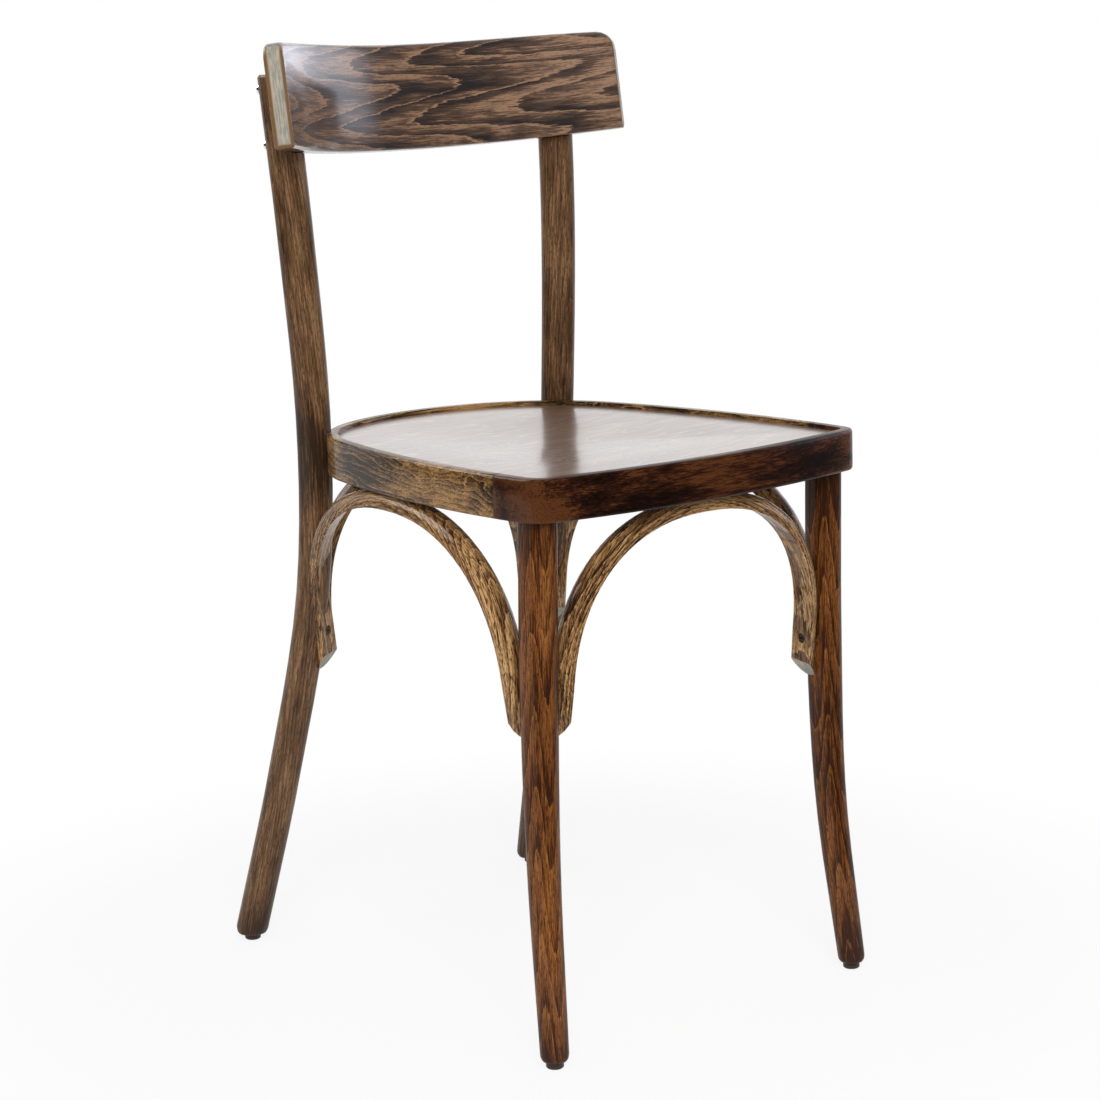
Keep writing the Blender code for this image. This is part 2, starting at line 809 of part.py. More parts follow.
def brace_screws(chair, kind, side, names, piece, feet, frame, metal):
    """One screw through each foot into its leg, and one up through the crown into the frame."""
    for end, name, leg in zip((-1, 1), names, feet):
        place = foot_place(kind, side, end)
        surface = place @ Vector((-end * brace_splay * brace_screw_rise, brace_screw_rise, 0))
        outward = place.to_3x3() @ Vector((-end, -brace_splay, 0))
        sunk_screw(chair, name, surface, outward, brace_screw_length, metal, piece, leg)
    matrix, _, rise = brace_place(kind, side)
    sunk_screw(chair, names[2], matrix @ Vector((0, rise, 0)), matrix.to_3x3() @ Vector((0, -1, 0)),
               crown_screw_length, metal, piece, frame)


def board_screws(chair, side, label, post, board, metal):
    """Two domed screws from behind, through a post into the back board, square to its curve."""
    bend_centre = Vector((0, board_front - board_radius, 0))
    for level, rise in (("lower", board_screw_low), ("upper", board_screw_high)):
        height = board_bottom + rise
        x, y, radius = rear_axis(height)
        out = Vector((side * x, y, 0)) - bend_centre
        out.normalize()
        head = Vector((side * x, y, height)) + out * (radius - clearance)
        mesh = screw_mesh(board_screw_head_radius, board_screw_head_height, screw_shank_radius,
                          board_screw_length, rounded=True)
        mesh.transform(place_along(head, out))
        chair.piece("board_screw_" + label + "_" + level, mesh, metal)
        depth = board_screw_length + clearance
        radius = screw_shank_radius + clearance
        chair.cut(board, hole_mesh(head, out, depth, radius))
        chair.cut(post, hole_mesh(head, out, depth, radius, clearance, board_screw_head_radius + clearance))


def post_bolt(chair, side, label, post, hoop, metal):
    """A bolt with a washer, from inside the seat frame through it into a rear post."""
    height = (frame_bottom + ledge_top) / 2
    x, y, radius = rear_axis(height)
    corner = rear_corner_centre()
    flat = (Vector((x, y)) - corner).normalized()
    inner = corner + flat * (rear_corner_radius - frame_width)
    out = Vector((-side * flat.x, -flat.y, 0))
    face = Vector((side * inner.x, inner.y, height)) + out * washer_stand_off
    washer_profile = [(bolt_shank_radius + clearance, washer_thickness), (washer_radius, washer_thickness),
                      (washer_radius, 0.0), (bolt_shank_radius + clearance, 0.0),
                      (bolt_shank_radius + clearance, washer_thickness)]
    washer = turned_mesh("washer", washer_profile)
    washer.transform(place_along(face, out))
    chair.piece("post_washer_" + label, washer, metal)
    seat = face + out * (washer_thickness + clearance)
    bolt = screw_mesh(bolt_head_radius, bolt_head_height, bolt_shank_radius, bolt_length, rounded=True)
    bolt.transform(place_along(seat, out))
    chair.piece("post_bolt_" + label, bolt, metal)
    depth = bolt_length + clearance
    radius = bolt_shank_radius + clearance
    chair.cut(post, hole_mesh(seat, out, depth, radius))
    chair.cut(hoop, hole_mesh(seat, out, depth, radius, washer_thickness + 2 * clearance,
                              washer_radius + clearance))


def glide(chair, label, axis, side, leg, plastic, metal):
    """A hard disc under a foot, held by a nail whose head is sunk in it."""
    x, y, _ = axis(foot_shoulder)
    spot = Vector((side * x, y, 0))
    profile = [(0, glide_height), (glide_radius, glide_height), (glide_radius, glide_chamfer),
               (glide_radius - glide_chamfer, 0), (0, 0)]
    disc = turned_mesh("glide", profile, steps=20)
    disc.transform(Matrix.Translation(spot))
    pad = chair.piece("glide_" + label, disc, plastic)
    head = spot + Vector((0, 0, nail_recess))
    down = (0, 0, -1)
    nail = screw_mesh(nail_head_radius, nail_head_height, nail_radius, nail_length, rounded=False)
    nail.transform(place_along(head, down))
    chair.piece("glide_nail_" + label, nail, metal)
    radius = nail_radius + clearance
    depth = nail_length + clearance
    chair.cut(pad, hole_mesh(head, down, depth, radius, nail_head_height + clearance,
                             nail_head_radius + clearance))
    chair.cut(leg, hole_mesh(head, down, depth, radius))


def main():
    clear_scene()
    chair = Chair()
    frame_wood = material("frame_wood", (0.085, 0.040, 0.018), 0.35)
    leg_wood = material("leg_wood", (0.13, 0.055, 0.024), 0.38)
    brace_wood = material("brace_wood", (0.16, 0.085, 0.038), 0.40)
    panel_wood = material("panel_wood", (0.11, 0.055, 0.028), 0.22)
    board_wood = material("board_wood", (0.14, 0.075, 0.040), 0.30)
    pin_wood = material("pin_wood", (0.45, 0.30, 0.17), 0.6)
    chrome = material("chrome", (0.80, 0.80, 0.80), 0.15, 1.0)
    steel = material("dark_steel", (0.12, 0.11, 0.10), 0.4, 1.0)
    plastic = material("glide_plastic", (0.035, 0.020, 0.014), 0.5)
    rail, hoop = seat_frame(chair, frame_wood)
    frame_dowels(chair, pin_wood)
    seat_panel(chair, panel_wood)
    board = back_board(chair, board_wood)
    front_legs = [front_leg(chair, "front_leg_" + label, side, leg_wood) for side, label in sides]
    posts = [rear_post(chair, "rear_post_" + label, side, leg_wood) for side, label in sides]
    front_room = [(front_axis, side, frame_bottom - clearance, front_rows) for side, _ in sides]
    rear_room = [(rear_axis, side, post_top - post_chamfer, rear_rows) for side, _ in sides]
    front = brace(chair, "front_brace", "front", 1, brace_wood, front_room)
    rear = brace(chair, "rear_brace", "rear", 1, brace_wood, rear_room)
    names = ["front_brace_screw_left", "front_brace_screw_right", "front_brace_screw_crown"]
    brace_screws(chair, "front", 1, names, front, front_legs, rail, steel)
    names = ["rear_brace_screw_left", "rear_brace_screw_right", "rear_brace_screw_crown"]
    brace_screws(chair, "rear", 1, names, rear, posts, hoop, steel)
    for i, (side, label) in enumerate(sides):
        arch = brace(chair, label + "_brace", "side", side, brace_wood, [front_room[i], rear_room[i]])
        names = [label + "_brace_screw_" + end for end in ("front", "rear", "crown")]
        brace_screws(chair, "side", side, names, arch, (front_legs[i], posts[i]), hoop, steel)
        board_screws(chair, side, label, posts[i], board, chrome)
        post_bolt(chair, side, label, posts[i], hoop, steel)
        glide(chair, "front_" + label, front_axis, side, front_legs[i], plastic, steel)
        glide(chair, "rear_" + label, rear_axis, side, posts[i], plastic, steel)


main()
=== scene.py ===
"""Looks of a bentwood side chair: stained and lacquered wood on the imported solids, and a white studio.

Everything is in metres in the chair's own frame: +X to the right, +Y to the back, +Z up.
"""

import json
import math

import bpy
from bpy.props import FloatProperty, FloatVectorProperty, PointerProperty
from bpy.types import Operator, Panel, PropertyGroup
from mathutils import Matrix, Vector

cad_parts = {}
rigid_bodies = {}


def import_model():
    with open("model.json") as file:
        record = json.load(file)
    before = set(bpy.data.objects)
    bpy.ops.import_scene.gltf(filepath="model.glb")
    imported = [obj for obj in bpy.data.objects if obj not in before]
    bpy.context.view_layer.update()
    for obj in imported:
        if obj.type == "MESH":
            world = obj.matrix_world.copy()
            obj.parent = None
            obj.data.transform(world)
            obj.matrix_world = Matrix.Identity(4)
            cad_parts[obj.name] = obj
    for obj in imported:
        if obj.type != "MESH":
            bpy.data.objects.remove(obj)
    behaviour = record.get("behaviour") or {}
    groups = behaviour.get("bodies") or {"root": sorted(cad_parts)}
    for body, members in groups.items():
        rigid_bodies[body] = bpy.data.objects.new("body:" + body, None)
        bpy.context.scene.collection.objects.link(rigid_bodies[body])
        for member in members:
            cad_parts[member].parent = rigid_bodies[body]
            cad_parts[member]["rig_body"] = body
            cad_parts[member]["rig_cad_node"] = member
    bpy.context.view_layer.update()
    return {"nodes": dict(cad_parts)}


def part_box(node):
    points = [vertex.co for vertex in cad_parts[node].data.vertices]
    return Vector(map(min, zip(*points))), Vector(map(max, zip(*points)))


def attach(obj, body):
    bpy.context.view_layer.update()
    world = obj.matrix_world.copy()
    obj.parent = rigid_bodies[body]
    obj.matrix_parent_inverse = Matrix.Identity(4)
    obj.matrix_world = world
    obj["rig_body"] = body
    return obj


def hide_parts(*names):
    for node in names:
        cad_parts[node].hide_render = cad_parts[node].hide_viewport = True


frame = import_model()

bl_info = {
    "name": "Bentwood side chair",
    "version": (1, 0, 0),
    "blender": (4, 5, 0),
    "location": "3D View > Sidebar > Side chair",
    "description": "Finishes a bentwood side chair and sets up its white studio",
    "category": "Object",
}

SIDES = (("left", -1), ("right", 1))
SMOOTH_ANGLE = math.radians(38)
MERGE_DISTANCE = 0.00001

# Middle lines of the bent bars on the right: height, distance from the middle, place from front to back
FRONT_LEG_LINE = (
    (0.0, 0.1652, -0.2096),
    (0.15, 0.1573, -0.1934),
    (0.30, 0.1542, -0.1905),
    (0.431, 0.1527, -0.1934),
)
REAR_POST_LINE = (
    (0.0, 0.1630, 0.2235),
    (0.16, 0.1479, 0.1769),
    (0.32, 0.1345, 0.1403),
    (0.465, 0.1343, 0.1265),
    (0.63, 0.1425, 0.1280),
    (0.787, 0.1495, 0.1385),
)

# Back board: the bottom of its front face, its lean and the radius it is bent to
BOARD_FOOT = (0.0, 0.1504, 0.6961)
BOARD_LEAN = math.radians(8.2)
BOARD_RADIUS = 0.2387
BOARD_THICKNESS = 0.0165

# The bare flat of the board's ends: from and to, up the board and through it
BOARD_END = (0.003, 0.087, 0.0025, 0.0135)

# Braces: height where the straight feet end and the round of the arch begins
ARCH_SPRING = 0.299
SIDE_ARCH_MIDDLE = -0.0205
ARCH_RADIUS = 0.12

# The flat-sawn faces of legs and posts look to the front left
FLAT_FACE_TURN = math.radians(-39)

# The seat frame's bend, about an upright line
HOOP_CENTRE = (0.0, -0.02)
HOOP_RADIUS = 0.17

# How much darker each front leg is painted, left and right: the right leg's extra darkness is painted shade,
# for the lesser light it gets
LEG_STAIN_AND_SHADE = (0.06, 0.24)

# Cut ends of the braces: below this height, faces that look down this steeply, and larger than a sliver
CUT_HEIGHT = 0.275
CUT_SLOPE = -0.55
CUT_AREA = 0.00001

# Faces of the board that look along it by more than this are its ends
END_SLOPE = 0.55

# Changes per metre across, through and along the grain
WANDER_SCALE = (40.0, 40.0, 7.0)
RAGGED_SCALE = (500.0, 500.0, 40.0)
FIBRE_SCALE = (1100.0, 1100.0, 50.0)
STREAK_SCALE = (170.0, 170.0, 17.0)
BLOTCH_SCALE = (35.0, 35.0, 8.0)
PORE_SCALE = (1300.0, 1300.0, 200.0)
CUT_STREAK_SCALE = (60.0, 900.0, 900.0)
CUT_PATCH_SCALE = (90.0, 160.0, 90.0)


# Settings that a user would change

def colour_setting(name, description, default):
    return FloatVectorProperty(name=name, description=description, default=default, min=0, max=1,
                               size=3, subtype="COLOR")


def share_setting(name, description, default):
    return FloatProperty(name=name, description=description, default=default, min=0, max=1, subtype="FACTOR")


class ChairColours(PropertyGroup):
    """The stain on each group of pieces, from its palest grain to its darkest."""

    board_tan: colour_setting("Board, pale grain", "Lines of the flame figure", (0.29, 0.165, 0.095))
    board_brown: colour_setting("Board, brown", "Main colour of the back board", (0.084, 0.045, 0.028))
    board_dark: colour_setting("Board, dark", "Stain held in the soft grain", (0.022, 0.016, 0.016))
    leg_tan: colour_setting("Legs, pale grain", "Palest grain of the legs", (0.25, 0.098, 0.026))
    leg_brown: colour_setting("Legs, brown", "Main colour of the front legs", (0.145, 0.048, 0.011))
    leg_dark: colour_setting("Legs, dark", "Darkest grain of the legs", (0.030, 0.009, 0.003))
    post_tan: colour_setting("Posts, pale grain", "Palest grain of the rear posts", (0.24, 0.135, 0.065))
    post_brown: colour_setting("Posts, brown", "Main colour of the rear posts", (0.116, 0.058, 0.027))
    post_dark: colour_setting("Posts, dark", "Darkest grain of the rear posts", (0.030, 0.016, 0.008))
    hoop_tan: colour_setting("Hoop, pale grain", "Palest grain of the seat hoop", (0.38, 0.21, 0.080))
    hoop_brown: colour_setting("Hoop, brown", "Main colour of the seat hoop", (0.160, 0.080, 0.026))
    hoop_dark: colour_setting("Hoop, dark", "Darkest grain of the seat hoop", (0.016, 0.010, 0.004))
    # The front rail's darkness is partly its dark stain and partly painted shade
    rail_tan: colour_setting("Front rail, pale grain", "Palest grain of the rail", (0.085, 0.028, 0.008))
    rail_brown: colour_setting("Front rail, brown", "Main colour of the front rail", (0.027, 0.0070, 0.0028))
    rail_dark: colour_setting("Front rail, dark", "Darkest grain of the front rail", (0.006, 0.002, 0.001))
    brace_tan: colour_setting("Braces, pale grain", "Palest grain of the braces", (0.50, 0.30, 0.13))
    brace_brown: colour_setting("Braces, brown", "Main colour of the braces", (0.240, 0.120, 0.045))
    brace_dark: colour_setting("Braces, dark", "Darkest grain of the braces", (0.022, 0.010, 0.005))
    panel_tan: colour_setting("Seat panel, pale grain", "Palest grain of the seat panel", (0.20, 0.12, 0.07))
    panel_brown: colour_setting("Seat panel, brown", "Main colour of the seat panel", (0.12, 0.060, 0.032))
    panel_dark: colour_setting("Seat panel, dark", "Darkest grain of the seat panel", (0.070, 0.036, 0.022))
    cut_pale: colour_setting("Cut ends, pale", "Pale wood where a piece is cut off", (0.40, 0.34, 0.27))
    cut_grey: colour_setting("Cut ends, grey", "Grey streaks in a cut end", (0.21, 0.21, 0.175))
    raw_beech: colour_setting("Dowels", "Unstained beech of the hidden dowels", (0.50, 0.34, 0.19))
    glide: colour_setting("Glides", "Hard plastic under the feet", (0.030, 0.012, 0.007))
    dark_steel: colour_setting("Dark steel", "Screws, nails, bolts and washers", (0.055, 0.045, 0.038))
    chrome: colour_setting("Chrome", "Domed screws of the back board", (0.80, 0.80, 0.82))


class ChairFinish(PropertyGroup):
    """How the lacquer shines and how soft the edges are."""

    gloss_board: share_setting("Board lacquer", "Weight of the lacquer on the board", 1.0)
    gloss_panel: share_setting("Panel lacquer", "Weight of the lacquer on the seat panel", 1.0)
    gloss_frame: share_setting("Frame lacquer", "Weight of the lacquer on the hoop and braces", 0.4)
    gloss_bars: share_setting("Bar lacquer", "Weight of the lacquer on legs, posts and front rail", 0.25)
    blur_board: share_setting("Board blur", "Roughness of the board's lacquer", 0.13)
    blur_panel: share_setting("Panel blur", "Roughness of the panel's lacquer", 0.19)
    blur_frame: share_setting("Frame blur", "Roughness of the seat frame's lacquer", 0.14)
    blur_bars: share_setting("Bar blur", "Roughness of the lacquer on legs and posts", 0.10)
    blur_braces: share_setting("Brace blur", "Roughness of the braces' lacquer", 0.05)
    pore_depth: FloatProperty(name="Pore depth", description="Depth of the open grain", default=0.00012,
                              min=0, unit="LENGTH")
    edge_bars: FloatProperty(name="Brace edge", description="Rounding of the braces' edges", default=0.0008,
                             min=0, unit="LENGTH")
    edge_frame: FloatProperty(name="Frame edge", description="Rounding of the seat lip's inner edge",
                              default=0.0016, min=0, unit="LENGTH")


class ChairStage(PropertyGroup):
    """The camera of the photograph and the plain studio light."""

    camera_place: FloatVectorProperty(name="Camera", description="Where the camera stands",
                                      default=(-1.43505, -1.77614, 0.79717), size=3, subtype="TRANSLATION")
    azimuth: FloatProperty(name="Azimuth", description="Turn of the view from straight ahead",
                           default=math.radians(-39.2612), subtype="ANGLE")
    elevation: FloatProperty(name="Elevation", description="Tilt of the view above level",
                             default=math.radians(10.8459), subtype="ANGLE")
    roll: FloatProperty(name="Roll", description="Turn of the picture about the line of sight",
                        default=math.radians(-1.7732), subtype="ANGLE")
    lens: FloatProperty(name="Lens", description="Focal length on a 36 mm wide sensor, in millimetres",
                        default=89.467, min=1)
    sky_front: FloatProperty(name="Front light", description="Strength of the soft light from the front left",
                             default=0.85, min=0)
    sky_back: FloatProperty(name="Back light", description="Strength of the soft light from behind",
                            default=0.2, min=0)
    gloss_window: FloatProperty(name="Window gloss", description="How bright the window is in the lacquer",
                                default=6.0, min=0)
    gloss_right: FloatProperty(name="Right gloss", description="How bright the right screen is in the lacquer",
                               default=2.6, min=0)
    cool: colour_setting("Cool gloss", "Colour of the screen on the right", (0.84, 0.88, 1.0))
    gloss_back: FloatProperty(name="Back gloss", description="How bright the backdrop is in the lacquer",
                              default=1.25, min=0)
    gloss_front: FloatProperty(name="Front gloss", description="What the lacquer mirrors from the front",
                               default=0.03, min=0)
    key_power: FloatProperty(name="Key light", description="Power of the large lamp on the left",
                             default=60.0, min=0, unit="POWER")
    fill_power: FloatProperty(name="Fill light", description="Power of the large lamp on the right",
                              default=12.0, min=0, unit="POWER")


# Making pieces

def deselect():
    bpy.ops.object.select_all(action="DESELECT")


def finer_piece(context, node_name, edge=0.0, sharper_than=50):
    """A finer copy of a solid: its faces joined, its edges rounded and its curves shaded smooth."""
    node = frame["nodes"][node_name]
    deselect()
    node.select_set(True)
    context.view_layer.objects.active = node
    bpy.ops.object.duplicate()
    piece = context.view_layer.objects.active
    piece.name = node_name + "_finish"
    piece.data.name = piece.name
    piece.parent = None
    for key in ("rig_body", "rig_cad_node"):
        del piece[key]
    bpy.ops.mesh.customdata_custom_splitnormals_clear()
    bpy.ops.object.mode_set(mode="EDIT")
    bpy.ops.mesh.select_all(action="SELECT")
    bpy.ops.mesh.remove_doubles(threshold=MERGE_DISTANCE)
    bpy.ops.mesh.dissolve_limited(angle_limit=math.radians(0.4))
    bpy.ops.object.mode_set(mode="OBJECT")
    if edge > 0:
        rounding = piece.modifiers.new("Edges", "BEVEL")
        rounding.width = edge
        rounding.segments = 3
        rounding.limit_method = "ANGLE"
        rounding.angle_limit = math.radians(sharper_than)
        rounding.use_clamp_overlap = True
        bpy.ops.object.modifier_apply(modifier=rounding.name)
    bpy.ops.object.shade_smooth_by_angle(angle=SMOOTH_ANGLE)
    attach(piece, "root")
    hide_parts(node_name)
    return piece


def set_material(piece, *materials):
    piece.data.materials.clear()
    for material in materials:
        piece.data.materials.append(material)
    for face in piece.data.polygons:
        face.material_index = 0


def store_grain(piece, grain_at, seed):
    """Stores each corner's place in the wood: across, through and along the grain."""
    places = piece.data.attributes.new("grain", "FLOAT_VECTOR", "POINT")
    shift = Vector((seed * 0.37, seed * 0.53, seed * 0.91))
    for vert, place in zip(piece.data.vertices, places.data):
        place.vector = grain_at(vert.co) + shift


def line_at(line, height):
    """Place on a bent bar's middle line at a height."""
    for low, high in zip(line, line[1:]):
        if height <= high[0]:
            break
    share = (height - low[0]) / (high[0] - low[0])
    return low[1] + (high[1] - low[1]) * share, low[2] + (high[2] - low[2]) * share


def bar_grain(line, side, turn):
    """Grain of a bent bar, whose flat-sawn face is turned from the front by an angle."""
    across = Vector((math.cos(turn), math.sin(turn), 0))
    through = Vector((-math.sin(turn), math.cos(turn), 0))

    def grain_at(point):
        x, y = line_at(line, point.z)
        local = Vector((point.x - side * x, point.y - y, 0))
        return Vector((local.dot(across), local.dot(through), point.z))
    return grain_at


def hoop_grain(point):
    x = point.x - HOOP_CENTRE[0]
    y = point.y - HOOP_CENTRE[1]
    turn = math.atan2(x, y)
    return Vector((point.z, math.hypot(x, y), turn * HOOP_RADIUS))


def rail_grain(point):
    return Vector((point.z, point.y, point.x))


def panel_grain(point):
    return Vector((point.y, point.z, point.x))


def board_grain(point):
    """Across is up the board, through is its thickness, and along follows its bend."""
    local = Matrix.Rotation(BOARD_LEAN, 3, "X") @ (point - Vector(BOARD_FOOT))
    reach = math.hypot(local.x, local.y + BOARD_RADIUS)
    turn = math.atan2(local.x, local.y + BOARD_RADIUS)
    return Vector((local.z, reach - BOARD_RADIUS, turn * (BOARD_RADIUS + BOARD_THICKNESS / 2)))


def arch_grain(kind):
    """Grain that follows an arch: straight up its feet and round its crown."""
    def grain_at(point):
        across = point.x if kind == "front" else point.y - SIDE_ARCH_MIDDLE
        through = point.y if kind == "front" else point.x
        up = point.z - ARCH_SPRING
        if up < 0:
            return Vector((abs(across), through, math.copysign(math.pi / 2 * ARCH_RADIUS - up, across)))
        turn = math.atan2(across, up)
        return Vector((math.hypot(across, up), through, turn * ARCH_RADIUS))
    return grain_at


# Shader building blocks

# How the grain of a piece runs: sizes in metres, the rest as shares of the stain's range
GRAIN_NUMBERS = {
    "Spacing": 0.05,
    "Swing": 0.30,
    "Period": 0.10,
    "Lean": 0.0,
    "Shift": 0.0,
    "Wander": 0.12,
    "Ragged": 0.03,
    "Line": 0.25,
    "Fade": 0.3,
    "Fibres": 2.0,
    "Streaks": 1.2,
    "Blotches": 1.0,
    "Specks": 0.5,
    "Bias": 0.0,
}


class Tree:
    """Short calls for adding and linking shader nodes."""

    def __init__(self, tree):
        self.tree = tree

    def node(self, kind, **values):
        made = self.tree.nodes.new(kind)
        for name, value in values.items():
            setattr(made, name, value)
        return made

    def feed(self, socket, value):
        if isinstance(value, bpy.types.NodeSocket):
            self.tree.links.new(value, socket)
        elif value is not None:
            socket.default_value = value

    def math(self, operation, first, second=None, third=None):
        made = self.node("ShaderNodeMath", operation=operation)
        for socket, value in zip(made.inputs, (first, second, third)):
            self.feed(socket, value)
        return made.outputs[0]

    def vector(self, operation, first, second):
        made = self.node("ShaderNodeVectorMath", operation=operation)
        self.feed(made.inputs[0], first)
        self.feed(made.inputs[1], second)
        return made.outputs[0]

    def dot(self, first, second):
        made = self.node("ShaderNodeVectorMath", operation="DOT_PRODUCT")
        self.feed(made.inputs[0], first)
        self.feed(made.inputs[1], second)
        return made.outputs["Value"]

    def smooth(self, value, low, high, to_low=0.0, to_high=1.0):
        made = self.node("ShaderNodeMapRange", interpolation_type="SMOOTHSTEP")
        for name, given in (("Value", value), ("From Min", low), ("From Max", high),
                            ("To Min", to_low), ("To Max", to_high)):
            self.feed(made.inputs[name], given)
        return made.outputs["Result"]

    def noise(self, place, detail=2.0, roughness=0.5):
        made = self.node("ShaderNodeTexNoise")
        self.feed(made.inputs["Vector"], place)
        for name, value in (("Scale", 1.0), ("Detail", detail), ("Roughness", roughness)):
            made.inputs[name].default_value = value
        return made.outputs["Fac"]

    def uneven(self, place, scale, amount, detail, roughness):
        """Noise about zero, stretched along the grain."""
        noise = self.noise(self.vector("MULTIPLY", place, scale), detail, roughness)
        return self.math("MULTIPLY", self.math("SUBTRACT", noise, 0.5), amount)

    def mix(self, share, first, second):
        made = self.node("ShaderNodeMix", data_type="RGBA")
        self.feed(made.inputs["Factor"], share)
        self.feed(made.inputs["A"], first)
        self.feed(made.inputs["B"], second)
        return made.outputs["Result"]


def grain_group():
    """Shader group for stained beech: nested flame arcs, long fibres, short dark pores and uneven stain."""
    name = "Stained grain"
    if name in bpy.data.node_groups:
        return bpy.data.node_groups[name]
    group = bpy.data.node_groups.new(name, "ShaderNodeTree")
    face = group.interface
    face.new_socket("Grain", in_out="INPUT", socket_type="NodeSocketVector")
    for colour in ("Tan", "Brown", "Dark"):
        face.new_socket(colour, in_out="INPUT", socket_type="NodeSocketColor")
    for number in GRAIN_NUMBERS:
        face.new_socket(number, in_out="INPUT", socket_type="NodeSocketFloat")
    face.new_socket("Color", in_out="OUTPUT", socket_type="NodeSocketColor")
    face.new_socket("Shade", in_out="OUTPUT", socket_type="NodeSocketFloat")
    face.new_socket("Height", in_out="OUTPUT", socket_type="NodeSocketFloat")
    t = Tree(group)
    given = t.node("NodeGroupInput").outputs
    result = t.node("NodeGroupOutput").inputs
    grain = given["Grain"]
    parts = t.node("ShaderNodeSeparateXYZ")
    t.feed(parts.inputs[0], grain)

    # The arcs swing to and fro across the grain, wander slowly and end raggedly, fibre by fibre
    across = t.math("MULTIPLY_ADD", parts.outputs["Z"], given["Lean"], parts.outputs["X"])
    turn = t.math("MULTIPLY_ADD", t.math("DIVIDE", across, given["Period"]), 2 * math.pi, given["Shift"])
    swing = t.math("MULTIPLY", t.math("SINE", turn), given["Swing"])
    wander = t.uneven(grain, WANDER_SCALE, given["Wander"], detail=2.0, roughness=0.5)
    ragged = t.uneven(grain, RAGGED_SCALE, given["Ragged"], detail=3.0, roughness=0.65)
    place = t.math("ADD", t.math("ADD", parts.outputs["Z"], swing), t.math("ADD", wander, ragged))
    ring = t.math("FRACT", t.math("DIVIDE", place, given["Spacing"]))
    fade = t.math("MULTIPLY", t.smooth(ring, 0.02, 0.70, 0.65, -0.35), given["Fade"])
    line = t.math("MULTIPLY", t.smooth(ring, 0.86, 0.97, 0.0, -1.0), given["Line"])
    shade = t.math("ADD", t.math("ADD", fade, line), t.math("ADD", given["Bias"], 0.5))

    # Long thin fibres, streaks of stain and broad uneven patches
    for scale, amount, detail, roughness in ((FIBRE_SCALE, "Fibres", 3.0, 0.6),
                                             (STREAK_SCALE, "Streaks", 3.0, 0.6),
                                             (BLOTCH_SCALE, "Blotches", 2.0, 0.5)):
        shade = t.math("ADD", shade, t.uneven(grain, scale, given[amount], detail, roughness))
    colour = t.mix(t.smooth(shade, 0.10, 0.52), given["Tan"], given["Brown"])
    colour = t.mix(t.smooth(shade, 0.48, 0.95), colour, given["Dark"])

    # Short dark flecks, where the stain sits in the open pores
    pores = t.noise(t.vector("MULTIPLY", grain, PORE_SCALE), detail=2.0, roughness=0.6)
    pores = t.math("MULTIPLY", t.smooth(pores, 0.51, 0.63), given["Specks"])
    colour = t.mix(pores, colour, given["Dark"])

    t.feed(result["Color"], colour)
    t.feed(result["Shade"], t.math("MINIMUM", t.math("MAXIMUM", shade, 0.0), 1.0))
    t.feed(result["Height"], t.math("SUBTRACT", 0.0, t.math("ADD", pores, t.math("MULTIPLY", shade, 0.5))))
    return group


def new_material(name):
    material = bpy.data.materials.new(name)
    material.use_nodes = True
    t = Tree(material.node_tree)
    shader = material.node_tree.nodes["Principled BSDF"]
    return material, t, shader


def rgba(colour):
    return (*colour, 1.0)


def stained_wood(context, name, stain, gloss, blur, sheen=0.05, depth=1.0, uneven_stain_and_shade=None, **numbers):
    """Stained and lacquered wood that follows the stored grain, made darker or paler by a given function:
    uneven stain, and on legs and posts also painted shade under the seat.
    """
    colours = context.scene.chair_colours
    finish = context.scene.chair_finish
    material, t, shader = new_material(name)
    grain = t.node("ShaderNodeAttribute", attribute_name="grain").outputs["Vector"]
    group = t.node("ShaderNodeGroup", node_tree=grain_group())
    t.feed(group.inputs["Grain"], grain)
    for socket, tone in (("Tan", "_tan"), ("Brown", "_brown"), ("Dark", "_dark")):
        group.inputs[socket].default_value = rgba(getattr(colours, stain + tone))
    for number, usual in GRAIN_NUMBERS.items():
        group.inputs[number].default_value = numbers.get(number.lower(), usual)
    if uneven_stain_and_shade:
        t.feed(group.inputs["Bias"], t.math("ADD", uneven_stain_and_shade(t), numbers.get("bias", 0.0)))
    t.feed(shader.inputs["Base Color"], group.outputs["Color"])
    t.feed(shader.inputs["Roughness"], t.smooth(group.outputs["Shade"], 0.0, 1.0, 0.38, 0.52))
    shader.inputs["Specular IOR Level"].default_value = sheen
    shader.inputs["Coat Weight"].default_value = gloss
    shader.inputs["Coat Roughness"].default_value = blur
    bump = t.node("ShaderNodeBump")
    bump.inputs["Strength"].default_value = 0.5
    bump.inputs["Distance"].default_value = finish.pore_depth * depth
    t.feed(bump.inputs["Height"], group.outputs["Height"])
    t.feed(shader.inputs["Normal"], bump.outputs["Normal"])
    return material


